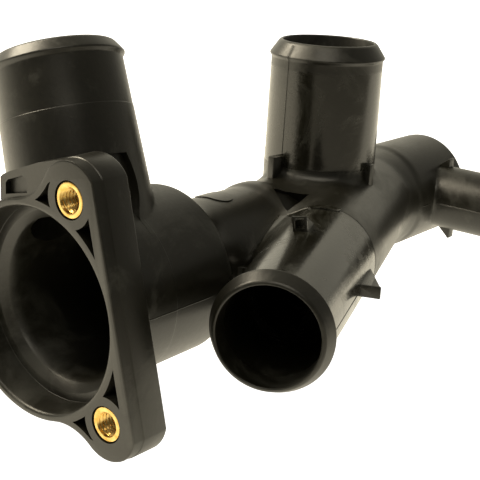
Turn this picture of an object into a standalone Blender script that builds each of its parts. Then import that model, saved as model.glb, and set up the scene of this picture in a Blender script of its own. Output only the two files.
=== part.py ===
"""Thermostat housing: one black nylon moulding with three brass threaded inserts.

Row frame: the origin is the centre of the seat bore on the flange's front face. +Y runs into
the housing along the main tube, +Z is the middle neck's axis and +X is the side neck's axis.
The mould parts on the plane z = 0, which holds the main tube, the front neck and the side neck.
"""
import math

import bmesh
import bpy
from mathutils import Matrix, Vector

# Driving sizes in millimetres.
MM = 0.001
WALL = 3.0
FIT_GAP = 0.3

# Flange and its seat bore.
BORE_R = 25.5
BORE_DEPTH = 9.0
SEAT_WIDTH = 2.4
SEAT_FLOOR = 2.0
RING_WALL = 2.0
FLANGE_DEPTH = 10.6
FLANGE_CLOCK = 14.0
BOLT_R = 32.65
BOLT_HALF_ANGLE = 53.4
EAR_R = 9.2
SIDE_FLAT = 8.5
EAR_BLEND_R = 14.0
EDGE_ROUND = 0.6
STEP_DEPTH = 3.0
STEP_GROW = 0.25

# Lightening pockets beside each bolt boss.
POCKET_DEPTH = 8.0
POCKET_WALL = 1.9
BOSS_R = 6.8

# Threaded inserts, M6.
THREAD_R = 2.5
THREAD_MAJOR_R = 3.0
INSERT_R = 4.25
INSERT_LENGTH = 8.6
INSERT_SINK = 0.2

# Chamber behind the flange and the long tube in line with it.
CHAMBER_R = 23.2
CHAMBER_END = 48.2
TUBE_R = 17.35
TUBE_WALL = 2.0
FORE_R = 16.1
FORE_END = 97.5
RIDGE_Y = 87.0
RIDGE_STEP = 0.8
BARREL_STEP = 0.45
BARREL_START = 157.0
TUBE_END = 187.5

# Middle neck, square to the tube.
MID_Y = 118.75
MID_R = 17.2
MID_HEIGHT = 56.4
MID_LIP_R = 14.6

# Upper neck, from the chamber, leaning towards -X and a little away from the flange.
UP_Y = 21.9
UP_LEAN_X = 21.6
UP_LEAN_Y = 6.0
UP_ROOT_R = 18.4
UP_TIP_R = 16.45
UP_HEIGHT = 61.8
UP_NOSE = 3.4
UP_LIP_R = 14.8
UP_LEDGE = 32.0
UP_SLOT_R = 15.9
UP_SLOT_START = -16.0
UP_SLOT_EDGE = 2.5
UP_SLOT_BOW = 6.0

# Front neck, a branch that points back past the flange.
FRONT_TURN = 22.53
FRONT_MEET_Y = 146.8
FRONT_LENGTH = 128.8
FRONT_TIP_R = 13.8
FRONT_ROOT_R = 17.1
FRONT_HOLE_R = 12.6

# Side neck at the closed end of the tube.
SIDE_Y = 176.1
SIDE_R = 10.9
SIDE_LENGTH = 52.0

# Hose beads: how far the crest stands out, its length along the neck and its nose.
BEAD_HEIGHT = 0.65
BEAD_LENGTH = 1.0
NOSE_LENGTH = 4.2

# Hose stops: ribs that a pushed-on hose comes up against.
STOP_WIDTH = 3.4
STOP_HEIGHT = 4.6
FRONT_STOP = 88.4

LIP = 0.7
SEGMENTS = 64


def clear_scene():
    for obj in list(bpy.data.objects):
        bpy.data.objects.remove(obj, do_unlink=True)


def make_material(name, rgb, rough, metallic=0.0):
    mat = bpy.data.materials.new(name)
    mat.use_nodes = True
    shader = mat.node_tree.nodes["Principled BSDF"]
    shader.inputs["Base Color"].default_value = (*rgb, 1.0)
    shader.inputs["Roughness"].default_value = rough
    shader.inputs["Metallic"].default_value = metallic
    mat.diffuse_color = (*rgb, 1.0)
    return mat


def mesh_object(name, bm):
    bmesh.ops.remove_doubles(bm, verts=bm.verts, dist=0.00001)
    bmesh.ops.recalc_face_normals(bm, faces=bm.faces)
    mesh = bpy.data.meshes.new(name)
    bm.to_mesh(mesh)
    bm.free()
    obj = bpy.data.objects.new(name, mesh)
    bpy.context.scene.collection.objects.link(obj)
    return obj


def as_guide(obj):
    obj.hide_render = True
    obj.display_type = 'WIRE'
    return obj


def frame_at(origin, axis, ref):
    """Matrix whose local z is axis and local x is the part of ref square to it."""
    z = Vector(axis).normalized()
    x = Vector(ref)
    x = (x - z * x.dot(z)).normalized()
    y = z.cross(x)
    rot = Matrix((x, y, z)).transposed().to_4x4()
    return Matrix.Translation(Vector(origin) * MM) @ rot


def add_loft(bm, rings, matrix):
    """Closed solid through rings of equal point count, each ring a list of (x, y, z) in mm."""
    rows = []
    for ring in rings:
        rows.append([bm.verts.new(matrix @ (Vector(p) * MM)) for p in ring])
    count = len(rows[0])
    for low, high in zip(rows, rows[1:]):
        for i in range(count):
            j = (i + 1) % count
            bm.faces.new((low[i], low[j], high[j], high[i]))
    bm.faces.new(list(reversed(rows[0])))
    bm.faces.new(rows[-1])


def lathe(name, profile, matrix, segments=SEGMENTS):
    """Solid of revolution about local z through (radius, height) points in mm."""
    rings = []
    for radius, height in profile:
        ring = []
        for i in range(segments):
            a = 2 * math.pi * i / segments
            ring.append((radius * math.cos(a), radius * math.sin(a), height))
        rings.append(ring)
    bm = bmesh.new()
    add_loft(bm, rings, matrix)
    return mesh_object(name, bm)


def prism(name, outlines, low, high, matrix):
    """One or more straight prisms along local z from closed (x, y) outlines in mm."""
    bm = bmesh.new()
    for outline in outlines:
        add_loft(bm, [[(x, y, h) for x, y in outline] for h in (low, high)], matrix)
    return mesh_object(name, bm)


def combine(body, tool, operation):
    as_guide(tool)
    mod = body.modifiers.new(operation.lower() + "_" + tool.name, 'BOOLEAN')
    mod.operation = operation
    mod.solver = 'EXACT'
    mod.object = tool


# Frames of the tube, the flange and the four necks.

def tube_frame():
    return frame_at((0, 0, 0), (0, 1, 0), (0, 0, 1))


def flange_frame():
    """Local x points at the flange's straight side, y down it and z into the housing."""
    clock = math.radians(FLANGE_CLOCK)
    across = (math.cos(clock), 0, math.sin(clock))
    return frame_at((0, 0, 0), (0, 1, 0), across)


def middle_frame():
    return frame_at((0, MID_Y, 0), (0, 0, 1), (1, 0, 0))


def upper_frame():
    left = math.tan(math.radians(UP_LEAN_X))
    away = math.tan(math.radians(UP_LEAN_Y))
    return frame_at((0, UP_Y, 0), (-left, away, 1.0), (1, 0, 0))


def front_frame():
    turn = math.radians(FRONT_TURN)
    return frame_at((0, FRONT_MEET_Y, 0), (math.sin(turn), -math.cos(turn), 0), (0, 0, 1))


def side_frame():
    return frame_at((0, SIDE_Y, 0), (1, 0, 0), (0, 0, 1))


# Flange outline: ears about the bolts, blended into the ring that carries the bore.

def polar(radius, degrees, centre=(0.0, 0.0)):
    a = math.radians(degrees)
    return (centre[0] + radius * math.cos(a), centre[1] + radius * math.sin(a))


def arc(centre, radius, start, end, steps):
    return [polar(radius, start + (end - start) * i / steps, centre) for i in range(steps + 1)]


def angle_of(point, centre=(0.0, 0.0)):
    return math.degrees(math.atan2(point[1] - centre[1], point[0] - centre[0]))


def blend_centre(bolt_angle, side):
    """Centre of the concave blend between the ring and an ear; side is +1 or -1."""
    ring = BORE_R + RING_WALL
    far = ring + EAR_BLEND_R
    near = EAR_R + EAR_BLEND_R
    along = (far * far - near * near + BOLT_R * BOLT_R) / (2 * BOLT_R)
    across = math.sqrt(far * far - along * along)
    a = math.radians(bolt_angle)
    return (along * math.cos(a) - side * across * math.sin(a),
            along * math.sin(a) + side * across * math.cos(a))


def flange_outline(grow):
    ring = BORE_R + RING_WALL + grow
    ear = EAR_R + grow
    hollow = EAR_BLEND_R - grow
    points = []
    for bolt in (BOLT_HALF_ANGLE, 180.0, 360.0 - BOLT_HALF_ANGLE):
        centre = polar(BOLT_R, bolt)
        first = blend_centre(bolt, -1)
        last = blend_centre(bolt, 1)
        start = angle_of(first, centre)
        end = angle_of(last, centre)
        flat = math.degrees(math.acos((SIDE_FLAT + grow) / ear))
        if bolt > 270.0:
            end = -flat
        if bolt < 90.0:
            start = flat
        else:
            lead = angle_of(first) + 180.0
            points += arc(first, hollow, lead, turn_to(lead, start + 180.0, -1), 8)
        points += arc(centre, ear, start, turn_to(start, end, 1), 16)
        if bolt < 270.0:
            begin = end + 180.0
            points += arc(last, hollow, begin, turn_to(begin, angle_of(last) + 180.0, -1), 8)
            following = 180.0 if bolt < 90.0 else 360.0 - BOLT_HALF_ANGLE
            ring_start = angle_of(last)
            ring_end = angle_of(blend_centre(following, -1))
            points += arc((0, 0), ring, ring_start, turn_to(ring_start, ring_end, 1), 12)[1:-1]
    return points


def turn_to(start, end, way):
    """The angle equal to end that is reached from start by turning one way, under a full turn."""
    while way > 0 and end < start:
        end += 360.0
    while way > 0 and end > start + 360.0:
        end -= 360.0
    while way < 0 and end > start:
        end -= 360.0
    while way < 0 and end < start - 360.0:
        end += 360.0
    return end


def flange_solid():
    levels = [(0.0, -EDGE_ROUND), (0.2 * EDGE_ROUND, -0.4 * EDGE_ROUND), (EDGE_ROUND, 0.0),
              (STEP_DEPTH, 0.0), (STEP_DEPTH + STEP_GROW, STEP_GROW),
              (FLANGE_DEPTH - EDGE_ROUND, STEP_GROW + 0.2),
              (FLANGE_DEPTH, STEP_GROW - 0.5 * EDGE_ROUND)]
    rings = [[(x, y, depth) for x, y in flange_outline(grow)] for depth, grow in levels]
    bm = bmesh.new()
    add_loft(bm, rings, flange_frame())
    return mesh_object("flange", bm)


def circle_meet(c1, r1, c2, r2, side):
    """Where two circles meet; side +1 or -1 picks the point left or right of c1 to c2."""
    dx, dy = c2[0] - c1[0], c2[1] - c1[1]
    gap = math.hypot(dx, dy)
    along = (gap * gap + r1 * r1 - r2 * r2) / (2 * gap)
    across = side * math.sqrt(max(r1 * r1 - along * along, 0.0))
    return (c1[0] + (along * dx - across * dy) / gap, c1[1] + (along * dy + across * dx) / gap)


def arc_between(centre, radius, start, end, steps):
    a = angle_of(start, centre)
    b = angle_of(end, centre)
    if b - a > 180.0:
        b -= 360.0
    if a - b > 180.0:
        b += 360.0
    return arc(centre, radius, a, b, steps)


def blend_pocket(bolt, side):
    """Pocket between a boss, the ring and the wall along the concave blend."""
    boss = polar(BOLT_R, bolt)
    ring = BORE_R + RING_WALL + 0.4
    blend = blend_centre(bolt, side)
    wall_r = EAR_BLEND_R + POCKET_WALL
    inner = circle_meet((0, 0), ring, boss, BOSS_R, side)
    outer = circle_meet(boss, BOSS_R, blend, wall_r, side)
    cusp = circle_meet((0, 0), ring, blend, wall_r, -side)
    points = arc_between(boss, BOSS_R, inner, outer, 4)
    points += arc_between(blend, wall_r, outer, cusp, 5)[1:]
    points += arc_between((0, 0), ring, cusp, inner, 4)[1:-1]
    return points


def side_pocket(side):
    """Pocket between a boss, the ring and the wall along the flange's straight side."""
    boss = polar(BOLT_R, side * BOLT_HALF_ANGLE)
    ring = BORE_R + RING_WALL + 0.4
    wall_x = BOLT_R * math.cos(math.radians(BOLT_HALF_ANGLE)) + SIDE_FLAT - POCKET_WALL - 1.2
    inner = circle_meet((0, 0), ring, boss, BOSS_R, -side)
    reach = math.sqrt(BOSS_R ** 2 - (wall_x - boss[0]) ** 2)
    outer = (wall_x, boss[1] - side * reach)
    cusp = (wall_x, side * math.sqrt(ring ** 2 - wall_x ** 2))
    points = arc_between(boss, BOSS_R, inner, outer, 4)
    points += arc_between((0, 0), ring, cusp, inner, 4)[:-1]
    return points


def pocket_cutter():
    outlines = [side_pocket(1), side_pocket(-1)]
    outlines += [blend_pocket(BOLT_HALF_ANGLE, 1), blend_pocket(-BOLT_HALF_ANGLE, -1)]
    outlines += [blend_pocket(180.0, 1), blend_pocket(180.0, -1)]
    return prism("pockets", outlines, -1.0, POCKET_DEPTH, flange_frame())


# Main tube: chamber, long straight tube and the slightly fatter closed end.

def tube_solid():
    barrel = TUBE_R + BARREL_STEP
    profile = [(CHAMBER_R, 2.0), (CHAMBER_R, CHAMBER_END - 1.6),
               (CHAMBER_R - 0.4, CHAMBER_END - 0.5), (CHAMBER_R - 1.3, CHAMBER_END),
               (FORE_R + 3.4, CHAMBER_END + 0.5), (FORE_R + 2.0, CHAMBER_END + 1.6),
               (FORE_R + 0.9, CHAMBER_END + 3.4), (FORE_R + 0.3, CHAMBER_END + 5.8),
               (FORE_R, CHAMBER_END + 8.5), (FORE_R, RIDGE_Y - 4.5),
               (FORE_R + RIDGE_STEP, RIDGE_Y - 2.0), (FORE_R + RIDGE_STEP, RIDGE_Y + 2.0),
               (FORE_R, RIDGE_Y + 4.0), (FORE_R, FORE_END), (TUBE_R, FORE_END + 4.5),
               (TUBE_R, BARREL_START),
               (barrel, BARREL_START + 1.2), (barrel, TUBE_END - 0.8),
               (barrel - 0.25, TUBE_END - 0.25), (barrel - 0.8, TUBE_END)]
    return lathe("main_tube", profile, tube_frame())


def bore_cutter():
    seat = BORE_R - SEAT_WIDTH
    chamber = CHAMBER_R - WALL
    tube = FORE_R - TUBE_WALL
    profile = [(BORE_R + 0.5, -1.0), (BORE_R + 0.5, 0.0), (BORE_R, 0.5), (BORE_R, BORE_DEPTH),
               (seat, BORE_DEPTH), (seat - 1.9, BORE_DEPTH + 1.6), (chamber, BORE_DEPTH + 4.5),
               (chamber, CHAMBER_END - WALL), (tube, CHAMBER_END - WALL),
               (tube - 0.3, TUBE_END - WALL - 0.8), (tube - 1.1, TUBE_END - WALL)]
    return lathe("main_bore", profile, tube_frame())


# Hose necks: a tapered tube that ends in a bead with a long nose.

def neck_profile(root_r, tip_r, length, lip_r, crest_r, nose=NOSE_LENGTH):
    crest = length - nose
    low = crest - BEAD_LENGTH
    return [(root_r, 0.0), (tip_r, low), (crest_r - 0.15, crest - 0.6),
            (crest_r, crest - 0.1), (crest_r - 0.15, crest + 0.3),
            (lip_r + 0.5, length - 0.4), (lip_r + 0.1, length - 0.1), (lip_r - 0.25, length)]


def middle_neck():
    return lathe("middle_neck", neck_profile(MID_R, MID_R - 0.3, MID_HEIGHT, MID_LIP_R,
                                             MID_R + 0.4), middle_frame())


def middle_bore():
    hole = MID_LIP_R - LIP
    return lathe("middle_bore", [(hole - 0.4, 0.0), (hole, MID_HEIGHT + 1.0)], middle_frame())


def upper_neck():
    """Round neck. Behind the upper ear a slot is cut into its side, under a ledge."""
    profile = neck_profile(UP_ROOT_R, UP_TIP_R, UP_HEIGHT, UP_LIP_R, UP_TIP_R + 0.95, UP_NOSE)
    taper = (UP_TIP_R - UP_ROOT_R) / profile[1][1]
    steps = [UP_LEDGE * i / 6 for i in range(3, 6)] + [UP_LEDGE - 0.1, UP_LEDGE + 0.1]
    for height in reversed(steps):
        profile.insert(1, (UP_ROOT_R + taper * height, height))
    rings = []
    for radius, height in profile:
        bow = math.sin(math.pi * min(max(2.0 * height / UP_LEDGE - 1.0, 0.0), 1.0))
        edge = UP_SLOT_EDGE + UP_SLOT_BOW * bow
        depth = UP_SLOT_R if height < UP_LEDGE else radius
        turns = [edge + (345.0 + UP_SLOT_START) * i / 50 for i in range(51)]
        ring = [polar(radius, turn) for turn in turns]
        start, end = 360.0 + UP_SLOT_START, 360.0 + edge - 0.8
        ring += [polar(radius, start)]
        ring += [polar(depth, start + 0.8 + (end - start - 0.8) * i / 5) for i in range(6)]
        rings.append([(x, y, height) for x, y in ring])
    bm = bmesh.new()
    add_loft(bm, rings, upper_frame())
    return mesh_object("upper_neck", bm)


def upper_bore():
    """Round at the mouth; its root is cut flat behind the seat so the seat stays whole."""
    hole = UP_LIP_R - LIP
    slope = math.tan(math.radians(UP_LEAN_Y))
    flat = BORE_DEPTH + SEAT_FLOOR - UP_Y
    low = UP_LEDGE - 6.0
    rings = []
    for height, limit in ((0.0, flat), (low, flat - slope * low), (low + 5.0, -hole),
                          (UP_HEIGHT + 1.0, -hole)):
        radius = hole - 0.4 + 0.4 * height / UP_HEIGHT
        ring = [polar(radius, 360.0 * i / SEGMENTS) for i in range(SEGMENTS)]
        rings.append([(x, max(y, limit), height) for x, y in ring])
    bm = bmesh.new()
    add_loft(bm, rings, upper_frame())
    return mesh_object("upper_bore", bm)


def front_neck():
    return lathe("front_neck", neck_profile(FRONT_ROOT_R, FRONT_TIP_R, FRONT_LENGTH,
                                            FRONT_HOLE_R + LIP, FRONT_TIP_R + 1.8), front_frame())


def front_bore():
    hole = FRONT_HOLE_R
    return lathe("front_bore", [(hole - 0.6, 0.0), (hole, FRONT_LENGTH + 1.0)], front_frame())


def side_neck():
    return lathe("side_neck", neck_profile(SIDE_R, SIDE_R - 0.2, SIDE_LENGTH, SIDE_R - 1.9,
                                           SIDE_R + BEAD_HEIGHT), side_frame(), 48)


def side_bore():
    hole = SIDE_R - 1.9 - LIP
    return lathe("side_bore", [(hole - 0.4, 0.0), (hole, SIDE_LENGTH + 1.0)], side_frame(), 48)


# Hose stops, webs and pads.

def gusset(bm, matrix, side_angle, root_r, tip, stop, run):
    """Three-cornered rib on a neck: it rises over its run to tip, and ends square at stop."""
    turned = matrix @ Matrix.Rotation(math.radians(side_angle), 4, 'Z')
    half = STOP_WIDTH / 2
    rings = []
    for across in (-half, half):
        rings.append([(root_r, across, stop - run), (tip - 0.4, across, stop - 0.9),
                      (tip, across, stop - 0.6), (tip, across, stop), (root_r, across, stop)])
    add_loft(bm, rings, turned)


def front_stops():
    """Four gussets at the front neck's root, two of them in the parting plane."""
    bm = bmesh.new()
    near = FRONT_TIP_R - 2.0
    high = FRONT_TIP_R + STOP_HEIGHT
    gusset(bm, front_frame(), 8.0, near, high, FRONT_STOP + 4.4, 15.0)
    gusset(bm, front_frame(), 188.0, near, high, FRONT_STOP + 4.4, 15.0)
    gusset(bm, front_frame(), 90.0, near, high + 1.7, FRONT_STOP, 24.0)
    gusset(bm, front_frame(), 270.0, near, high + 1.7, FRONT_STOP, 24.0)
    return mesh_object("front_stops", bm)


def side_stops():
    """Gussets above, below and in front of the side neck where it leaves the tube."""
    bm = bmesh.new()
    near = SIDE_R - 2.0
    gusset(bm, side_frame(), 0.0, near, SIDE_R + 3.0, 17.6, 7.0)
    gusset(bm, side_frame(), 180.0, near, SIDE_R + 3.4, 20.4, 6.5)
    gusset(bm, side_frame(), 90.0, near, SIDE_R + 3.0, 17.6, 7.0)
    return mesh_object("side_stops", bm)


def middle_stop(name, turn, low, high, left, right, upright):
    """L-shaped stop on the middle neck: a bar from left to right and an upright at its right."""
    spin = Matrix.Rotation(math.radians(turn), 4, 'Z')
    axes = Matrix(((0, 0, 1, 0), (1, 0, 0, 0), (0, 1, 0, 0), (0, 0, 0, 1)))
    outline = [(left, high - 3.6), (upright, high - 3.6), (upright, low), (right, low),
               (right, high), (left, high)]
    return prism(name, [outline], MID_R - 2.5, MID_R + 1.5, middle_frame() @ spin @ axes)


def upper_web():
    """Web in the flange's depth that ties the upper ear to the stop left of the upper neck."""
    outline = [(-12.3, -24.8), (-12.3, -30.4), (-11.5, -31.2), (-9.0, -32.4), (0.9, -36.4),
               (10.1, -39.0), (12.0, -32.0), (0.0, -26.4)]
    outline.reverse()
    return prism("upper_web", [outline], 1.3, FLANGE_DEPTH - 0.4,
                 frame_at((0, 0, 0), (0, 1, 0), (1, 0, 0)))


def upper_web_pocket():
    outline = [(-10.4, -26.6), (-10.4, -29.4), (-9.6, -30.3), (-4.6, -32.2), (-2.9, -31.5),
               (-2.9, -28.4)]
    outline.reverse()
    return prism("upper_web_pocket", [outline], -1.0, 7.5,
                 frame_at((0, 0, 0), (0, 1, 0), (1, 0, 0)))


def tube_pad():
    """Low oval pad on top of the long tube."""
    outline = arc((0.0, 4.0), 3.8, 0, 180, 10) + arc((0.0, -4.0), 3.8, 180, 360, 10)
    return prism("tube_pad", [outline], FORE_R - 2.0, FORE_R + 0.4,
                 frame_at((-1.5, 68.5, 0), (0, 0, 1), (1, 0, 0)))


def crotch_pocket():
    """Three-cornered recess in the thick wall between the middle and front necks."""
    matrix = frame_at((0, 89.5, 0), (math.sin(math.radians(40)), 0, math.cos(math.radians(40))),
                      (0, 1, 0))
    outline = [(5.8, 2.05), (6.4, -0.9), (-3.2, -1.9), (-4.9, 1.3), (-3.2, 5.4)]
    return prism("crotch_pocket", [outline], TUBE_R - 1.5, TUBE_R + 8.0, matrix)


# Threaded inserts and the holes they are moulded into.

def insert_holes():
    outlines = []
    for bolt in (BOLT_HALF_ANGLE, 180.0, -BOLT_HALF_ANGLE):
        outlines.append(arc(polar(BOLT_R, bolt), INSERT_R + FIT_GAP, 0, 360, 40)[:-1])
    depth = INSERT_SINK + INSERT_LENGTH + FIT_GAP
    return prism("insert_holes", outlines, -1.0, depth, flange_frame())


def insert(name, bolt, mat):
    """Plain bush with a chamfered, drilled-through hole; its knurls are hidden in the nylon."""
    centre = polar(BOLT_R, bolt)
    matrix = flange_frame() @ Matrix.Translation(Vector((centre[0], centre[1], 0)) * MM)
    low = INSERT_SINK
    high = INSERT_SINK + INSERT_LENGTH
    outside = [(INSERT_R - 0.25, low), (INSERT_R, low + 0.25), (INSERT_R, high)]
    inside = [(THREAD_R, high), (THREAD_R, low + 0.7), (THREAD_MAJOR_R + 0.1, low)]
    rings = []
    for radius, height in outside + inside:
        rings.append([(*polar(radius, 360.0 * i / 40), height) for i in range(40)])
    bm = bmesh.new()
    rows = [[bm.verts.new(matrix @ (Vector(p) * MM)) for p in ring] for ring in rings]
    for low_row, high_row in zip(rows, rows[1:] + rows[:1]):
        for i in range(40):
            j = (i + 1) % 40
            bm.faces.new((low_row[i], low_row[j], high_row[j], high_row[i]))
    obj = mesh_object(name, bm)
    obj.data.materials.append(mat)
    return obj


def housing_body(mat):
    body = flange_solid()
    body.name = "housing_body"
    body.data.name = "housing_body"
    body.data.materials.append(mat)
    for tool in (tube_solid(), middle_neck(), upper_neck(), front_neck(), side_neck(),
                 upper_web(), front_stops(), side_stops(), tube_pad(),
                 middle_stop("middle_stop_side", 0.0, 12.0, 25.6, -2.6, 4.9, 1.9),
                 middle_stop("middle_stop_far", 180.0, 12.0, 20.6, -5.2, 4.3, 0.3),
                 middle_stop("middle_stop_front", 270.0, 12.0, 20.0, -7.4, -0.3, -5.0),
                 middle_stop("middle_stop_back", 90.0, 12.0, 20.0, -7.4, -0.3, -5.0)):
        combine(body, tool, 'UNION')
    for tool in (bore_cutter(), middle_bore(), upper_bore(), front_bore(), side_bore(),
                 pocket_cutter(), upper_web_pocket(), crotch_pocket(), insert_holes()):
        combine(body, tool, 'DIFFERENCE')
    return body


def build():
    clear_scene()
    nylon = make_material("black_nylon", (0.022, 0.021, 0.018), 0.42)
    brass = make_material("brass", (0.72, 0.50, 0.20), 0.3, 1.0)
    housing_body(nylon)
    insert("insert_upper", -BOLT_HALF_ANGLE, brass)
    insert("insert_left", 180.0, brass)
    insert("insert_lower", BOLT_HALF_ANGLE, brass)


build()
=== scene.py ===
"""Thermostat housing: a black nylon moulding with three brass threaded inserts.

Row frame: the origin is the centre of the seat bore on the flange's front face, +Y runs into
the housing, +Z is the middle neck's axis and +X is the side neck's axis. Sizes are in mm and
each mesh is made in metres.
"""
import math

import bmesh
import bpy
import numpy as np
from mathutils import Matrix, Vector


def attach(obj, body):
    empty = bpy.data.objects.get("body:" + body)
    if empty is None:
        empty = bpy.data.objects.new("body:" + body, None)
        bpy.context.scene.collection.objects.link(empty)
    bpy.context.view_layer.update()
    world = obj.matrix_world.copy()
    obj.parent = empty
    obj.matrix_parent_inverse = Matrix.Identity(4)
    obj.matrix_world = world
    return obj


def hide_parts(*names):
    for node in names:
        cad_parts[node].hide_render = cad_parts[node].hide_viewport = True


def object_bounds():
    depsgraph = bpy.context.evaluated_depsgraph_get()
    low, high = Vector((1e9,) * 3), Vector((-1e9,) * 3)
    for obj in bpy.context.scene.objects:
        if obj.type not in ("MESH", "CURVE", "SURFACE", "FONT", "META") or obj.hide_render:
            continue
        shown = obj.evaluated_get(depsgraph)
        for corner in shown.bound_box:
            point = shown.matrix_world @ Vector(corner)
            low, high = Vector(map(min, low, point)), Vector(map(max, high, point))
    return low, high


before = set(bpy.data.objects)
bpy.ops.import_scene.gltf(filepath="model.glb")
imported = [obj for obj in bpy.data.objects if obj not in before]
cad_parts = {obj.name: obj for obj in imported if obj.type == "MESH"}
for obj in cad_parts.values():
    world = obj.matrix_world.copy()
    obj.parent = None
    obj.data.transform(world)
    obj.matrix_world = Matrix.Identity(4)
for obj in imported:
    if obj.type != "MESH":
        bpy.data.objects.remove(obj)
cad_low, cad_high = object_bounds()


# Housing, main tube and necks.
# One injection moulding in black glass-filled nylon: a chamber behind the flange, a long closed
# tube, and four hose necks that grow out of it with moulded fillets.

MM = 0.001
SIDES = 96
NARROW_SIDES = 64


def frame_at(origin, axis, ref):
    """Matrix in mm whose local z is axis and local x is the part of ref square to it."""
    z = Vector(axis).normalized()
    x = Vector(ref)
    x = (x - z * x.dot(z)).normalized()
    turn = Matrix((x, z.cross(x), z)).transposed().to_4x4()
    return Matrix.Translation(Vector(origin)) @ turn


def solid(name, points, faces, matrix):
    """Object from (x, y, z) points in mm and their faces, with its normals turned outward."""
    mesh = bpy.data.meshes.new(name)
    mesh.from_pydata([matrix @ Vector(p) * MM for p in points], [], faces)
    bm = bmesh.new()
    bm.from_mesh(mesh)
    bmesh.ops.recalc_face_normals(bm, faces=bm.faces)
    bm.to_mesh(mesh)
    bm.free()
    made = bpy.data.objects.new(name, mesh)
    bpy.context.scene.collection.objects.link(made)
    return made


def skin(name, rings, matrix):
    """Closed solid through rings of equal point count, each a list of (x, y, z) in mm."""
    count = len(rings[0])
    faces = []
    for row in range(len(rings) - 1):
        low = row * count
        for i in range(count):
            j = (i + 1) % count
            faces.append((low + i, low + j, low + count + j, low + count + i))
    last = (len(rings) - 1) * count
    faces.append(tuple(reversed(range(count))))
    faces.append(tuple(range(last, last + count)))
    return solid(name, [p for ring in rings for p in ring], faces, matrix)


def soften(corners):
    """(radius, height) points of a profile whose (radius, height, setback) corners are rounded."""
    steps = 4
    points = [corners[0][:2]]
    for before, at, after in zip(corners, corners[1:], corners[2:]):
        a, b, c = Vector(before[:2]), Vector(at[:2]), Vector(after[:2])
        cut = min(at[2], 0.48 * (b - a).length, 0.48 * (c - b).length)
        if cut < 0.01:
            points.append(tuple(b))
            continue
        p = b + (a - b).normalized() * cut
        q = b + (c - b).normalized() * cut
        for i in range(steps + 1):
            t = i / steps
            points.append(tuple(p * (1 - t) ** 2 + b * 2 * t * (1 - t) + q * t * t))
    points.append(corners[-1][:2])
    return points


def divide(profile, low, high, step):
    """The same profile with extra points every step mm where its height lies in low to high."""
    points = [profile[0]]
    for (r0, h0), (r1, h1) in zip(profile, profile[1:]):
        if h1 > low and h0 < high:
            count = max(1, math.ceil((h1 - h0) / step))
            for i in range(1, count):
                points.append((r0 + (r1 - r0) * i / count, h0 + (h1 - h0) * i / count))
        points.append((r1, h1))
    return points


def turned(name, profile, matrix, sides=SIDES):
    """Round solid about local z through (radius, height) points."""
    rings = []
    for radius, height in profile:
        rings.append([(radius * math.cos(2 * math.pi * i / sides),
                       radius * math.sin(2 * math.pi * i / sides), height) for i in range(sides)])
    return skin(name, rings, matrix)


# A neck's frame stands where its axis meets the tube's, with local z out through its mouth.
TUBE_END = 187.5
UPPER_LEAN = math.tan(math.radians(21.6))
UPPER_TILT = math.tan(math.radians(6.0))
FRONT_TURN = math.radians(22.53)
TUBE = frame_at((0, 0, 0), (0, 1, 0), (0, 0, 1))
MIDDLE = frame_at((0, 118.75, 0), (0, 0, 1), (1, 0, 0))
UPPER = frame_at((0, 21.9, 0), (-UPPER_LEAN, UPPER_TILT, 1.0), (1, 0, 0))
FRONT = frame_at((0, 146.8, 0), (math.sin(FRONT_TURN), -math.cos(FRONT_TURN), 0), (0, 0, 1))
SIDE = frame_at((0, 176.1, 0), (1, 0, 0), (0, 0, 1))

tube_profile = soften([
    (25.2, 2.0, 0), (24.4, 10.9, 1.2), (23.2, 12.4, 1.2), (23.28, 25.9, 0.05),
    (23.18, 26.05, 0.05), (23.1, 47.0, 1.2), (21.4, 48.5, 1.0), (17.6, 50.6, 2.4),
    (16.1, 56.5, 3.0), (16.1, 82.5, 1.2), (16.9, 85.0, 1.2), (16.9, 89.0, 1.2),
    (16.1, 91.5, 1.2), (16.1, 97.5, 2.0), (17.35, 102.5, 2.0), (17.35, 155.9, 0.9),
    (17.8, 158.2, 0.9), (17.8, TUBE_END, 0.8), (16.0, TUBE_END, 0)])
middle_profile = soften([
    (17.62, 0.0, 0), (17.1, 51.2, 0.3), (17.8, 52.1, 0.5), (17.15, 53.0, 0.5),
    (15.1, 56.0, 0.4), (14.5, 56.4, 0.3), (13.4, 56.4, 0)])
upper_profile = soften([
    (18.6, 0.0, 0), (17.08, 44.6, 0.05), (16.98, 44.75, 0.05), (16.6, 57.4, 0.3),
    (17.42, 58.4, 0.5), (16.9, 59.2, 0.5), (15.3, 61.4, 0.5), (14.6, 61.8, 0.3),
    (13.6, 61.8, 0)])
front_profile = soften([
    (17.1, 0.0, 0), (15.4, 66.7, 0.05), (15.3, 66.85, 0.05), (13.8, 123.6, 0.4),
    (15.57, 124.6, 0.6), (15.1, 125.6, 0.6), (13.8, 128.4, 0.4), (13.2, 128.8, 0.3),
    (12.2, 128.8, 0)])
side_profile = soften([
    (10.9, 0.0, 0), (10.7, 46.8, 0.3), (11.54, 47.8, 0.5), (11.2, 48.4, 0.5), (9.4, 51.7, 0.4),
    (9.0, 52.0, 0.2), (8.1, 52.0, 0)])

# Frame, profile and the heights between which a fillet can fall, so the mesh is finer there.
FINE_STEP = 1.25
rounds = {"tube": (TUBE, tube_profile, 10.0, TUBE_END), "middle": (MIDDLE, middle_profile, 0, 34),
          "upper": (UPPER, upper_profile, 10, 36), "front": (FRONT, front_profile, 0, 98),
          "side": (SIDE, side_profile, 10, 24)}


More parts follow.
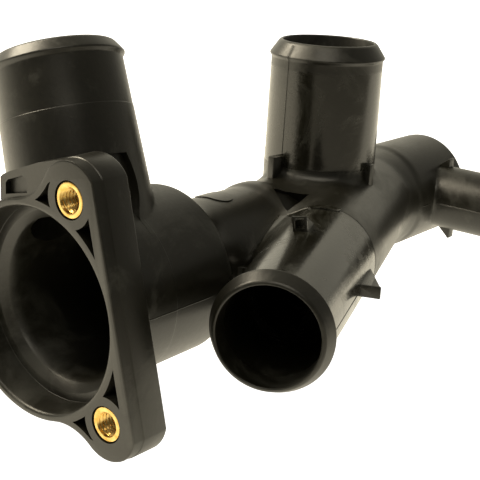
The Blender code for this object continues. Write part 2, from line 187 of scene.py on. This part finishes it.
def combine(name, first, others, operation):
    """Applies one Boolean after another to first, removes the tools and returns first."""
    for other in others:
        mod = first.modifiers.new(other.name, 'BOOLEAN')
        mod.operation = operation
        mod.solver = 'MANIFOLD'
        mod.object = other
    bpy.context.view_layer.update()
    graph = bpy.context.evaluated_depsgraph_get()
    mesh = bpy.data.meshes.new_from_object(first.evaluated_get(graph))
    first.modifiers.clear()
    old = first.data
    first.data = mesh
    bpy.data.meshes.remove(old)
    for other in others:
        bpy.data.objects.remove(other, do_unlink=True)
    first.name = name
    return first


walls = []
for name, (place, profile, low, high) in rounds.items():
    walls.append(turned(name, divide(profile, low, high, FINE_STEP), place,
                        NARROW_SIDES if name == "side" else SIDES))
shell = combine("shell", walls[0], walls[1:], 'UNION')


def depth_in(points, name):
    """How far points lie outside one round solid, and the direction that leads out of it."""
    place, profile = rounds[name][:2]
    inverse = np.array(place.inverted())
    local = points @ inverse[:3, :3].T + inverse[:3, 3]
    reach = np.maximum(np.hypot(local[:, 0], local[:, 1]), 0.001)
    heights = [h for r, h in profile]
    radii = [r for r, h in profile]
    depth = np.maximum(reach - np.interp(local[:, 2], heights, radii), -local[:, 2])
    out = np.zeros_like(points)
    out[:, :2] = local[:, :2] / reach[:, None]
    return depth, out @ np.array(place)[:3, :3].T


# Radius of the moulded fillet at each neck's root, and the widest band that it may round over.
FILLETS = {"front": 14.0, "middle": 4.2, "upper": 1.8, "side": 1.1}
FILLET_REACH = 7.0


def melt(first, second, radius):
    """Joins two depths with a fillet of that radius, which fades where the faces are parallel."""
    (a, na), (b, nb) = first, second
    reach = np.clip(radius * (1 - (na * nb).sum(axis=1)), 0.001, FILLET_REACH)
    share = np.clip(0.5 + 0.5 * (b - a) / reach, 0, 1)
    depth = b + (a - b) * share - reach * share * (1 - share)
    normal = nb + (na - nb) * share[:, None]
    return depth, normal / np.linalg.norm(normal, axis=1)[:, None]


def fillet(points):
    """Moves the points near each joint of two round solids out onto its fillet, in four passes."""
    least = 0.0005
    for turn in range(4):
        joined = depth_in(points, "tube")
        plain = joined[0]
        for name, radius in FILLETS.items():
            other = depth_in(points, name)
            plain = np.minimum(plain, other[0])
            joined = melt(joined, other, radius)
        if turn == 0:
            near = plain - joined[0] > least
        points[near] -= (joined[0][:, None] * joined[1])[near]
    return points


places = np.zeros(len(shell.data.vertices) * 3)
shell.data.vertices.foreach_get("co", places)
places = fillet(places.reshape(-1, 3) / MM) * MM
shell.data.vertices.foreach_set("co", places.ravel())
shell.data.update()


# Flange of the same moulding.
# A plate with three ears, a step round its edge and a ring that carries the thermostat's seat.
# Cored-out pockets keep the walls beside each bolt boss thin.

FLANGE_CLOCK = math.radians(14)
FLANGE = frame_at((0, 0, 0), (0, 1, 0), (math.cos(FLANGE_CLOCK), 0, math.sin(FLANGE_CLOCK)))
FLANGE_DEPTH = 10.6
BOLT_R = 32.65
BOLT_ANGLE = 53.4
BOLTS = {"upper": -BOLT_ANGLE, "left": 180.0, "lower": BOLT_ANGLE}
RING_R = 27.5
EAR_R = 9.2
EAR_BLEND_R = 14.0
SIDE_FLAT = 8.5


def polar(radius, degrees, centre=(0.0, 0.0)):
    a = math.radians(degrees)
    return (centre[0] + radius * math.cos(a), centre[1] + radius * math.sin(a))


def arc(centre, radius, start, end, steps):
    return [polar(radius, start + (end - start) * i / steps, centre) for i in range(steps + 1)]


def angle_of(point, centre=(0.0, 0.0)):
    return math.degrees(math.atan2(point[1] - centre[1], point[0] - centre[0]))


def turn_to(start, end, way):
    """The angle equal to end that is reached from start by turning one way, under a full turn."""
    turn = (end - start) % 360.0
    return start + (turn if way > 0 else turn - 360.0)


def blend_centre(bolt, side):
    """Centre of the concave blend between the ring and an ear; side is +1 or -1."""
    far = RING_R + EAR_BLEND_R
    near = EAR_R + EAR_BLEND_R
    along = (far * far - near * near + BOLT_R * BOLT_R) / (2 * BOLT_R)
    across = side * math.sqrt(far * far - along * along)
    a = math.radians(bolt)
    return (along * math.cos(a) - across * math.sin(a), along * math.sin(a) + across * math.cos(a))


def flange_outline(grow):
    """Closed outline of ears, concave blends and ring, moved outward by grow."""
    ear, hollow = EAR_R + grow, EAR_BLEND_R - grow
    flat = math.degrees(math.acos((SIDE_FLAT + grow) / ear))
    points = []
    for bolt in (BOLT_ANGLE, 180.0, 360.0 - BOLT_ANGLE):
        centre = polar(BOLT_R, bolt)
        first, last = blend_centre(bolt, -1), blend_centre(bolt, 1)
        start, end = angle_of(first, centre), angle_of(last, centre)
        if bolt > 270.0:
            end = -flat
        if bolt < 90.0:
            start = flat
        else:
            lead = angle_of(first) + 180.0
            points += arc(first, hollow, lead, turn_to(lead, start + 180.0, -1), 14)
        points += arc(centre, ear, start, turn_to(start, end, 1), 36)
        if bolt < 270.0:
            begin = end + 180.0
            points += arc(last, hollow, begin, turn_to(begin, angle_of(last) + 180.0, -1), 14)
            ring_start = angle_of(last)
            following = 180.0 if bolt < 90.0 else 360.0 - BOLT_ANGLE
            ring_end = angle_of(blend_centre(following, -1))
            points += arc((0, 0), RING_R + grow, ring_start,
                          turn_to(ring_start, ring_end, 1), 20)[1:-1]
    return points


def slab(name, outline, low, high, matrix):
    """Straight prism along local z on a closed (x, y) outline."""
    return skin(name, [[(x, y, h) for x, y in outline] for h in (low, high)], matrix)


# Depth behind the face and growth of the outline: rounded at the front, stepped, rounded behind.
edge_levels = [(0.0, -0.6), (0.05, -0.35), (0.2, -0.12), (0.55, 0.0), (2.9, 0.0), (3.0, 0.06),
               (3.15, 0.22), (3.3, 0.26), (10.1, 0.42), (10.4, 0.34), (10.55, 0.2),
               (FLANGE_DEPTH, -0.05)]
flange = skin("flange", [[(x, y, depth) for x, y in flange_outline(grow)]
                         for depth, grow in edge_levels], FLANGE)


def circle_meet(c1, r1, c2, r2, side):
    """Where two circles meet; side +1 or -1 picks the point left or right of c1 to c2."""
    dx, dy = c2[0] - c1[0], c2[1] - c1[1]
    gap = math.hypot(dx, dy)
    along = (gap * gap + r1 * r1 - r2 * r2) / (2 * gap)
    across = side * math.sqrt(max(r1 * r1 - along * along, 0.0))
    return (c1[0] + (along * dx - across * dy) / gap, c1[1] + (along * dy + across * dx) / gap)


def arc_between(centre, radius, start, end, steps):
    a = angle_of(start, centre)
    turn = (angle_of(end, centre) - a + 180.0) % 360.0 - 180.0
    return arc(centre, radius, a, a + turn, steps)


BOSS_R = 6.8
POCKET_RING_R = RING_R + 0.4
BLEND_WALL = 1.9
STRAIGHT_WALL = 3.1
POCKET_DEPTH = 8.0
INSERT_SEAT_R = 4.55
INSERT_SEAT_DEPTH = 9.1


def blend_pocket(bolt, side):
    """Pocket between a boss, the ring and the wall along the concave blend."""
    boss, wall = polar(BOLT_R, bolt), EAR_BLEND_R + BLEND_WALL
    blend = blend_centre(bolt, side)
    inner = circle_meet((0, 0), POCKET_RING_R, boss, BOSS_R, side)
    outer = circle_meet(boss, BOSS_R, blend, wall, side)
    cusp = circle_meet((0, 0), POCKET_RING_R, blend, wall, -side)
    return (arc_between(boss, BOSS_R, inner, outer, 8)
            + arc_between(blend, wall, outer, cusp, 8)[1:]
            + arc_between((0, 0), POCKET_RING_R, cusp, inner, 8)[1:-1])


def side_pocket(side):
    """Pocket between a boss, the ring and the wall along the flange's straight side."""
    boss = polar(BOLT_R, side * BOLT_ANGLE)
    wall = boss[0] + SIDE_FLAT - STRAIGHT_WALL
    inner = circle_meet((0, 0), POCKET_RING_R, boss, BOSS_R, -side)
    outer = (wall, boss[1] - side * math.sqrt(BOSS_R ** 2 - (wall - boss[0]) ** 2))
    cusp = (wall, side * math.sqrt(POCKET_RING_R ** 2 - wall ** 2))
    return (arc_between(boss, BOSS_R, inner, outer, 8)
            + arc_between((0, 0), POCKET_RING_R, cusp, inner, 8)[:-1])


pockets = [slab("pocket", outline, -1.0, POCKET_DEPTH, FLANGE) for outline in (
    side_pocket(1), side_pocket(-1), blend_pocket(BOLT_ANGLE, 1), blend_pocket(-BOLT_ANGLE, -1),
    blend_pocket(180.0, 1), blend_pocket(180.0, -1))]
insert_seats = [slab("insert_seat", arc(polar(BOLT_R, bolt), INSERT_SEAT_R, 0, 360, 64)[:-1],
                     -1.0, INSERT_SEAT_DEPTH, FLANGE) for bolt in BOLTS.values()]

# A web fills the corner between the ring and the upper ear, with a shallow pocket in its face.
FACE = frame_at((0, 0, 0), (0, 1, 0), (1, 0, 0))
web = slab("web", [(0.0, -26.4), (12.0, -32.0), (10.1, -39.0), (0.9, -36.4), (-9.0, -32.4),
                   (-11.5, -31.2), (-12.3, -30.4), (-12.3, -24.8)], 1.3, 10.2, FACE)
web_pocket = slab("web_pocket", [(-2.9, -28.4), (-2.9, -31.5), (-4.6, -32.2), (-9.6, -30.3),
                                 (-10.4, -29.4), (-10.4, -26.6)], -1.0, 2.8, FACE)


# Hose stops, pads and parting lines.
# Ribs that a pushed-on hose comes up against, low pads over the mould's ejector pins, and the
# fine raised line where the two halves of the mould met.

def ease(rib, width):
    """Rounds every edge of a small solid."""
    bm = bmesh.new()
    bm.from_mesh(rib.data)
    bmesh.ops.bevel(bm, geom=bm.edges[:], offset=width * MM, segments=2, profile=0.5,
                    affect='EDGES', clamp_overlap=True)
    bm.to_mesh(rib.data)
    bm.free()
    return rib


def spin(degrees):
    return Matrix.Rotation(math.radians(degrees), 4, 'Z')


def gusset(matrix, turn, near, tip, stop, run, half=1.7):
    """Three-cornered rib on a neck: it rises over its run to tip, and ends square at stop."""
    outline = [(near, stop - run), (tip - 0.4, stop - 0.9), (tip, stop - 0.6), (tip, stop),
               (near, stop)]
    rings = [[(x, across, h) for x, h in outline] for across in (-half, half)]
    return ease(skin("gusset", rings, matrix @ spin(turn)), 0.3)


TOP_STOP_TURN = 8.0
FRONT_NEAR, SIDE_NEAR = 11.8, 8.9
stops = [gusset(FRONT, TOP_STOP_TURN, FRONT_NEAR, 18.7, 90.2, 13.0, 2.0),
         gusset(FRONT, 188.0, FRONT_NEAR, 18.4, 92.8, 15.0),
         gusset(FRONT, 90.0, FRONT_NEAR, 20.1, 88.4, 24.0),
         gusset(FRONT, 270.0, FRONT_NEAR, 20.1, 88.4, 24.0),
         gusset(SIDE, 0.0, SIDE_NEAR, 13.9, 17.6, 7.0),
         gusset(SIDE, 180.0, SIDE_NEAR, 14.3, 20.4, 6.5),
         gusset(SIDE, 90.0, SIDE_NEAR, 13.9, 17.6, 7.0)]

PARTING = 82.0
FIN_NEAR = 14.7
FIN_FOOT = 12.0


def fin(turn, reach, high):
    """Upright fin on the middle neck; it stands on the tube and stops the hose."""
    half = 1.33
    outline = [(FIN_NEAR, -half), (reach, -half), (reach, half), (FIN_NEAR, half)]
    return ease(slab("fin", outline, FIN_FOOT, high, MIDDLE @ spin(turn)), 0.35)


# The middle neck's fourth stop, on its far side, is an angle with a shelf and a short upright.
FAR_STOP = [(-5.2, 17.0), (0.3, 17.0), (0.3, FIN_FOOT), (4.3, FIN_FOOT), (4.3, 20.6), (-5.2, 20.6)]
UPRIGHT = Matrix(((0, 0, 1, 0), (1, 0, 0, 0), (0, 1, 0, 0), (0, 0, 0, 1)))
stops += [fin(PARTING - 180.0, 22.0, 22.6), fin(PARTING, 22.0, 22.6), fin(0.0, 19.6, 21.0),
          ease(slab("far_stop", FAR_STOP, FIN_NEAR, 18.7, MIDDLE @ spin(180.0) @ UPRIGHT), 0.35)]


def seam(place, profile, turn, low, high):
    """Parting line: a ridge 0.13 mm high along a round solid, from one height to another."""
    heights = [h for r, h in profile]
    radii = [r for r, h in profile]
    steps = sorted({low, high} | {h for h in heights if low < h < high})
    rings = []
    for h in steps:
        r = float(np.interp(h, heights, radii))
        rings.append([(r - 0.8, -0.25, h), (r - 0.8, 0.25, h), (r - 0.02, 0.25, h),
                      (r + 0.13, 0.05, h), (r + 0.13, -0.05, h), (r - 0.02, -0.25, h)])
    return skin("seam", rings, place @ spin(turn))


seams = [seam(*line) for line in (
    (MIDDLE, middle_profile, PARTING - 180.0, 22.0, 55.6),
    (MIDDLE, middle_profile, PARTING, 22.0, 55.6),
    (FRONT, front_profile, 90.0, 92.0, 123.2), (FRONT, front_profile, 270.0, 92.0, 123.2),
    (SIDE, side_profile, 90.0, 19.0, 46.4), (SIDE, side_profile, 270.0, 19.0, 46.4),
    (TUBE, tube_profile, 90.0, 12.0, 58.0), (TUBE, tube_profile, 270.0, 12.0, 186.0),
    (TUBE, tube_profile, 90.0, 158.0, 163.0))]

# Local x of a pad lies along the neck's axis and local z points out of its wall.
OUTWARD = Matrix(((0, 0, 1, 0), (0, 1, 0, 0), (1, 0, 0, 0), (0, 0, 0, 1)))


def pad(place, height, across, length, width, reach, taper=0.0):
    """Low oval pad whose top follows the round wall it stands on."""
    half = (length - width) / 2
    outline = arc((0.0, half), width / 2, 0, 180, 14) + arc((0.0, -half), width / 2, 180, 360, 14)
    oval = slab("pad", [(height + x, across + y) for x, y in outline], 8.0, 22.0, place @ OUTWARD)
    top = turned("pad_top", [(reach + taper, height - 20), (reach - taper, height + 20)], place)
    return combine("pad", oval, [top], 'INTERSECT')


pads = [pad(FRONT, 65.3, 0.6, 9.8, 8.4, 15.82, 0.51), pad(TUBE, 68.5, -1.5, 11.8, 7.6, 16.4)]


# Bores, pockets and slot of the same moulding.
# Every passage is cored: the seat for the thermostat, the chamber, the long tube and the four
# necks run into each other, with a small round at each mouth. Outside, the walls are lightened.

def upper_bore():
    """Round at the mouth; its root is cut flat behind the seat so the seat stays whole."""
    rings = []
    for radius, height, limit in ((13.7, 0.0, -10.9), (13.9, 26.0, -10.9 - UPPER_TILT * 26),
                                  (13.9, 31.0, -14.1), (14.1, 61.3, -20), (14.2, 61.6, -20),
                                  (14.5, 61.85, -20), (14.5, 62.4, -20)):
        rings.append([(x, max(y, limit), height)
                      for x, y in (polar(radius, 360.0 * i / SIDES) for i in range(SIDES))])
    return skin("upper_bore", rings, UPPER)


SEAT_SIDES = 128
bores = [turned("seat", [(26.4, -1.0), (26.4, 0.0), (26.05, 0.1), (25.7, 0.4), (25.5, 0.9),
                         (25.5, 8.9), (25.4, 9.0), (23.3, 9.0), (23.1, 9.1), (21.3, 10.6),
                         (20.9, 11.0), (20.2, 13.5), (20.2, 44.6), (19.6, 45.2), (14.7, 45.2),
                         (14.1, 45.8), (13.8, 183.0), (13.5, 184.0), (12.7, 184.5)],
                TUBE, SEAT_SIDES),
         turned("middle_bore", [(13.5, 0.0), (13.9, 56.0), (14.0, 56.25), (14.25, 56.45),
                                (14.25, 57.4)], MIDDLE),
         upper_bore(),
         turned("front_bore", [(12.0, 0.0), (12.6, 128.2), (12.75, 128.6), (13.1, 128.85),
                               (13.1, 129.6)], FRONT),
         turned("side_bore", [(7.9, 0.0), (8.3, 51.6), (8.4, 51.85), (8.6, 52.05),
                              (8.6, 53.0)], SIDE, NARROW_SIDES)]

# A pocket between the middle and the front neck, cut 40 degrees over from upright.
CROTCH_LEAN = math.radians(40)
CROTCH = frame_at((0, 89.5, 0), (math.sin(CROTCH_LEAN), 0, math.cos(CROTCH_LEAN)), (0, 1, 0))
crotch_pocket = slab("crotch_pocket", [(-2.0, 6.3), (3.3, 3.5), (6.0, -0.4), (-1.7, -2.3),
                                       (-6.7, -3.1), (-4.2, 1.9)], 14.9, 25.0, CROTCH)
stop_recess = slab("stop_recess", [(15.3, -1.2), (18.2, -1.2), (18.2, 1.2), (15.3, 1.2)],
                   87.0, 92.0, FRONT @ spin(TOP_STOP_TURN))

SLOT_START = -16.0
SLOT_MIDDLE = 16.0


def ear_slot():
    """Slot in the upper neck's side, between the chamber and a ledge behind the upper ear."""
    rings = []
    for height in (8.0, 12.0, 16.0, 18.7, 21.3, 24.0, 26.7, 29.3, 31.9):
        bow = math.sin(math.pi * min(max(height / SLOT_MIDDLE - 1.0, 0.0), 1.0))
        edge = 2.1 + 6.0 * bow
        turn = edge - SLOT_START
        ring = [polar(15.9, SLOT_START + turn * i / 8) for i in range(9)]
        ring += [polar(21.0, edge - turn * i / 8) for i in range(9)]
        rings.append([(x, y, height) for x, y in ring])
    chamber = turned("chamber", [(23.25, 12.0), (23.2, 46.0)], TUBE)
    return combine("ear_slot", skin("ear_slot", rings, UPPER), [chamber], 'DIFFERENCE')


moulding = combine("housing_moulding", flange, [shell, web] + stops + seams + pads, 'UNION')
moulding = combine("housing_moulding", moulding,
                   bores + pockets + insert_seats
                   + [web_pocket, crotch_pocket, stop_recess, ear_slot()], 'DIFFERENCE')
moulding.data.shade_smooth()
moulding.data.set_sharp_from_angle(angle=math.radians(32))


def srgb(code):
    """Linear RGBA from an sRGB hex colour."""
    values = [int(code[i:i + 2], 16) / 255 for i in (1, 3, 5)]
    return (*[v / 12.92 if v <= 0.04045 else ((v + 0.055) / 1.055) ** 2.4 for v in values], 1.0)


def node(mat, kind, settings=None, links=None):
    """Adds a shader node, sets its inputs or properties by name and links inputs to sockets."""
    new = mat.node_tree.nodes.new(kind)
    for key, value in (settings or {}).items():
        if key in new.inputs:
            new.inputs[key].default_value = value
        else:
            setattr(new, key, value)
    for key, socket in (links or {}).items():
        mat.node_tree.links.new(socket, new.inputs[key])
    return new


def ramp(mat, socket, stops):
    """Colour ramp through (position, colour) stops."""
    new = node(mat, 'ShaderNodeValToRGB', links={"Fac": socket})
    points = new.color_ramp.elements
    while len(points) < len(stops):
        points.new(0.5)
    for point, (position, colour) in zip(points, stops):
        point.position = position
        point.color = colour
    return new.outputs["Color"]


def grey(value):
    return (value, value, value, 1.0)


def hose_seat(mat, place, neck, reach, start, stop):
    """Mask that is 1 within reach mm of a neck's axis, from start to stop along it, and else 0."""
    local = node(mat, 'ShaderNodeMapping',
                 {"vector_type": 'TEXTURE', "Location": neck.translation * MM,
                  "Rotation": neck.to_euler()}, {"Vector": place}).outputs["Vector"]
    across = node(mat, 'ShaderNodeVectorMath', {"operation": 'MULTIPLY'}, {0: local})
    across.inputs[1].default_value = (1.0, 1.0, 0.0)
    off_axis = node(mat, 'ShaderNodeVectorMath', {"operation": 'LENGTH'},
                    {0: across.outputs["Vector"]}).outputs["Value"]
    inside = node(mat, 'ShaderNodeMath', {"operation": 'LESS_THAN'}, {0: off_axis})
    inside.inputs[1].default_value = reach * MM
    height = node(mat, 'ShaderNodeSeparateXYZ', links={"Vector": local}).outputs["Z"]
    above = node(mat, 'ShaderNodeMapRange', {"From Min": (start - 0.1) * MM,
                                             "From Max": (start + 0.1) * MM}, {"Value": height})
    below = node(mat, 'ShaderNodeMapRange', {"From Min": stop * MM, "From Max": (stop - 1) * MM},
                 {"Value": height})
    along = node(mat, 'ShaderNodeMath', {"operation": 'MULTIPLY'},
                 {0: above.outputs["Result"], 1: below.outputs["Result"]}).outputs["Value"]
    return node(mat, 'ShaderNodeMath', {"operation": 'MULTIPLY'},
                {0: inside.outputs["Value"], 1: along}).outputs["Value"]


# Glass-filled nylon 66, injection moulded: a satin skin with a faint mottle of glass fibre, paler
# and duller where it is scuffed, and polished where a hose seats on the front and middle necks.
nylon = bpy.data.materials.new("glass_filled_nylon")
nylon.use_nodes = True
nylon_links = nylon.node_tree.links
nylon_shader = nylon.node_tree.nodes["Principled BSDF"]
nylon_shader.inputs["IOR"].default_value = 1.53
nylon_place = node(nylon, 'ShaderNodeTexCoord').outputs["Object"]
FLOW_SIZE, FIBRE_SIZE, SCUFF_SIZE = 0.028, 0.0011, 0.024
flow = node(nylon, 'ShaderNodeTexNoise',
            {"Scale": 1 / FLOW_SIZE, "Detail": 3.0, "Roughness": 0.55},
            {"Vector": nylon_place}).outputs["Fac"]
fibre = node(nylon, 'ShaderNodeTexNoise',
             {"Scale": 1 / FIBRE_SIZE, "Detail": 2.0, "Roughness": 0.6},
             {"Vector": nylon_place}).outputs["Fac"]
tone = node(nylon, 'ShaderNodeMix', {"data_type": 'FLOAT', "Factor": 0.35},
            {"A": flow, "B": fibre}).outputs["Result"]
patch = node(nylon, 'ShaderNodeTexNoise',
             {"Scale": 1 / SCUFF_SIZE, "Detail": 6.0, "Roughness": 0.72, "Distortion": 0.6},
             {"Vector": nylon_place}).outputs["Fac"]
scuff = ramp(nylon, patch, [(0.52, grey(0.0)), (0.65, grey(1.0))])
black = ramp(nylon, tone, [(0.3, srgb("#100f0a")), (0.7, srgb("#1a1912"))])
colour = node(nylon, 'ShaderNodeMix', {"data_type": 'RGBA'})
nylon_links.new(scuff, colour.inputs["Factor"])
nylon_links.new(black, colour.inputs[6])
colour.inputs[7].default_value = srgb("#343430")
nylon_links.new(colour.outputs[2], nylon_shader.inputs["Base Color"])

satin = ramp(nylon, tone, [(0.32, grey(0.3)), (0.68, grey(0.42))])
shine = ramp(nylon, tone, [(0.32, grey(0.13)), (0.68, grey(0.24))])
polished = node(nylon, 'ShaderNodeMath', {"operation": 'MAXIMUM'},
                {0: hose_seat(nylon, nylon_place, FRONT, 17.5, 66.8, 122.5),
                 1: hose_seat(nylon, nylon_place, MIDDLE, 19.0, 19.0, 49.0)}).outputs["Value"]
gloss = node(nylon, 'ShaderNodeMix', {"data_type": 'FLOAT'},
             {"Factor": polished, "A": satin, "B": shine}).outputs["Result"]
SCUFF_DULLNESS = 0.12
worn = node(nylon, 'ShaderNodeMath', {"operation": 'MULTIPLY_ADD'}, {0: scuff, 2: gloss})
worn.inputs[1].default_value = SCUFF_DULLNESS
nylon_links.new(worn.outputs["Value"], nylon_shader.inputs["Roughness"])
grain = node(nylon, 'ShaderNodeBump', {"Strength": 0.12, "Distance": 0.0002}, {"Height": fibre})
nylon_links.new(grain.outputs["Normal"], nylon_shader.inputs["Normal"])
moulding.data.materials.clear()
moulding.data.materials.append(nylon)
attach(moulding, "root")
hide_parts("housing_body")


# Threaded inserts.
# Three M6 bushes turned from brass, 8.6 mm long, moulded into the ears 0.2 mm below the face,
# with the thread cut through and a chamfer at its mouth.

cut_brass = bpy.data.materials.new("turned_brass")
cut_brass.use_nodes = True
brass_shader = cut_brass.node_tree.nodes["Principled BSDF"]
brass_shader.inputs["Metallic"].default_value = 1.0
brass_place = node(cut_brass, 'ShaderNodeTexCoord').outputs["Object"]
TARNISH_SIZE = 0.0018
tarnish = node(cut_brass, 'ShaderNodeTexNoise', {"Scale": 1 / TARNISH_SIZE, "Detail": 3.0},
               {"Vector": brass_place}).outputs["Fac"]
brass_links = cut_brass.node_tree.links
brass_links.new(ramp(cut_brass, tarnish, [(0.3, srgb("#c89b4c")), (0.7, srgb("#ecce86"))]),
                brass_shader.inputs["Base Color"])
brass_links.new(ramp(cut_brass, tarnish, [(0.3, grey(0.2)), (0.7, grey(0.34))]),
                brass_shader.inputs["Roughness"])

PITCH = 1.0
THREAD_R, THREAD_HEIGHT = 2.52, 0.5
THREAD_START, INSERT_END = 0.75, 8.8
INSERT_SINK = 0.2
INSERT_R = 4.25
BUSH_SIDES = 64
THREAD_STEPS = 72


def threaded_bush(name, bolt):
    """Bush whose section is turned about its axis while the thread's wave runs down it."""
    centre = polar(BOLT_R, bolt)
    matrix = FLANGE @ Matrix.Translation((centre[0], centre[1], 0))
    points = []
    for i in range(BUSH_SIDES):
        section = [(INSERT_R - 0.3, INSERT_SINK), (INSERT_R - 0.1, INSERT_SINK + 0.07),
                   (INSERT_R, INSERT_SINK + 0.3), (INSERT_R, INSERT_END)]
        for k in range(THREAD_STEPS + 1):
            h = INSERT_END - (INSERT_END - THREAD_START) * k / THREAD_STEPS
            wave = (h / PITCH - i / BUSH_SIDES) % 1.0
            rise = min(1.0, 1.25 * (1 - abs(2 * wave - 1)))
            section.append((THREAD_R + THREAD_HEIGHT * rise, h))
        section += [(3.1, INSERT_SINK + 0.06), (3.2, INSERT_SINK)]
        a = 2 * math.pi * i / BUSH_SIDES
        points += [(r * math.cos(a), r * math.sin(a), h) for r, h in section]
    count = len(points) // BUSH_SIDES
    faces = []
    for i in range(BUSH_SIDES):
        this, following = i * count, (i + 1) % BUSH_SIDES * count
        for k in range(count):
            j = (k + 1) % count
            faces.append((this + k, following + k, following + j, this + j))
    bush = solid(name, points, faces, matrix)
    bush.data.shade_smooth()
    bush.data.set_sharp_from_angle(angle=math.radians(40))
    bush.data.materials.append(cut_brass)
    return bush


for ear, bolt in BOLTS.items():
    bush = threaded_bush("threaded_bush_" + ear, bolt)
    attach(bush, "root")
    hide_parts("insert_" + ear)


# Studio.
# A white table top and surround that glow evenly white where the camera sees them, so no
# shadow shows on the table. What the black nylon mirrors is darker on the camera's side, so it
# stays dark there. Lengths here are in metres.

floor_mesh = bpy.data.meshes.new("table_top")
floor_z = cad_low[2] - 0.0002
FLOOR_HALF = 4
floor_mesh.from_pydata([(x * FLOOR_HALF, y * FLOOR_HALF, floor_z)
                        for x, y in ((-1, -1), (1, -1), (1, 1), (-1, 1))], [], [(0, 1, 2, 3)])
floor = bpy.data.objects.new("table_top", floor_mesh)
bpy.context.scene.collection.objects.link(floor)
white = bpy.data.materials.new("glowing_white_top")
white.use_nodes = True
top = white.node_tree.nodes["Principled BSDF"]
top.inputs["Base Color"].default_value = srgb("#c8c6c0")
top.inputs["Roughness"].default_value = 0.7
# Painted glow: the table top emits light. Camera rays see it even and white; other rays see it
# warm, dimmed towards the camera's side.
FLOOR_GLOW = 1.35
floor_seen = node(white, 'ShaderNodeLightPath').outputs["Is Camera Ray"]
warmth = node(white, 'ShaderNodeMix', {"data_type": 'RGBA'}, {"Factor": floor_seen})
warmth.inputs[6].default_value = (0.9, 0.83, 0.65, 1.0)
warmth.inputs[7].default_value = grey(1.0)
white.node_tree.links.new(warmth.outputs[2], top.inputs["Emission Color"])
nearness = node(white, 'ShaderNodeVectorMath', {"operation": 'DOT_PRODUCT'},
                {0: node(white, 'ShaderNodeTexCoord').outputs["Object"]})
nearness.inputs[1].default_value = (0.83, -0.56, 0.0)
reflected_glow = node(white, 'ShaderNodeMapRange',
                {"From Min": 0.025, "From Max": 0.08, "To Min": FLOOR_GLOW, "To Max": 0.12,
                 "interpolation_type": 'SMOOTHSTEP'}, {"Value": nearness.outputs["Value"]})
strength = node(white, 'ShaderNodeMix', {"data_type": 'FLOAT'},
                {"Factor": floor_seen, "A": reflected_glow.outputs["Result"]})
strength.inputs["B"].default_value = FLOOR_GLOW
white.node_tree.links.new(strength.outputs["Result"], top.inputs["Emission Strength"])
floor_mesh.materials.append(white)

world = bpy.data.worlds.new("surround")
bpy.context.scene.world = world
world.use_nodes = True
sky = world.node_tree.nodes["Background"]
sky.inputs["Strength"].default_value = 1.4
ray = node(world, 'ShaderNodeTexCoord').outputs["Generated"]
towards = node(world, 'ShaderNodeVectorMath', {"operation": 'DOT_PRODUCT'}, {0: ray})
towards.inputs[1].default_value = (0.79, -0.6, 0.14)
facing = node(world, 'ShaderNodeMapRange', {"From Min": -1.0, "From Max": 1.0},
              {"Value": towards.outputs["Value"]}).outputs["Result"]
glow = ramp(world, facing, [(0.0, (0.9, 0.84, 0.66, 1)), (0.13, (0.66, 0.62, 0.49, 1)),
                            (0.34, (0.22, 0.207, 0.168, 1)), (0.6, (0.17, 0.16, 0.13, 1)),
                            (1.0, (0.06, 0.057, 0.049, 1))])
sky_seen = node(world, 'ShaderNodeLightPath').outputs["Is Camera Ray"]
surround = node(world, 'ShaderNodeMix', {"data_type": 'RGBA'}, {"Factor": sky_seen})
world.node_tree.links.new(glow, surround.inputs[6])
surround.inputs[7].default_value = grey(1.0)
world.node_tree.links.new(surround.outputs[2], sky.inputs["Color"])
bpy.context.scene.view_settings.view_transform = 'Standard'


def softbox(name, place, aim, width, height, power, tint):
    """Rectangular area lamp at place, turned to face aim; lengths in m and power in W."""
    lamp = bpy.data.lights.new(name, 'AREA')
    lamp.shape = 'RECTANGLE'
    lamp.size, lamp.size_y = width, height
    lamp.energy = power
    lamp.color = srgb(tint)[:3]
    box = bpy.data.objects.new(name, lamp)
    box.location = place
    box.rotation_euler = (Vector(aim) - Vector(place)).to_track_quat('-Z', 'Y').to_euler()
    bpy.context.scene.collection.objects.link(box)


softbox("key", (-0.45, -0.1, 0.5), (0.02, 0.08, 0.0), 0.4, 0.3, 5.5, "#fff2d6")
softbox("fill", (0.25, -0.35, 0.8), (0.02, 0.1, 0.0), 0.5, 0.5, 2.2, "#fff6e0")

# The camera's place, its axes and its lens were fitted to the object's outline.
lens = bpy.data.cameras.new("camera")
lens.lens = 79.86
lens.sensor_width = 36.0
lens.clip_start = 0.01
camera = bpy.data.objects.new("camera", lens)
right, up, back = (0.7829, 0.6199, 0.0538), (-0.2285, 0.2060, 0.9515), (0.5787, -0.7572, 0.3029)
camera.matrix_world = (Matrix.Translation((0.18134, -0.15742, 0.09554))
                       @ Matrix((right, up, back)).transposed().to_4x4())
bpy.context.scene.collection.objects.link(camera)
bpy.context.scene.camera = camera
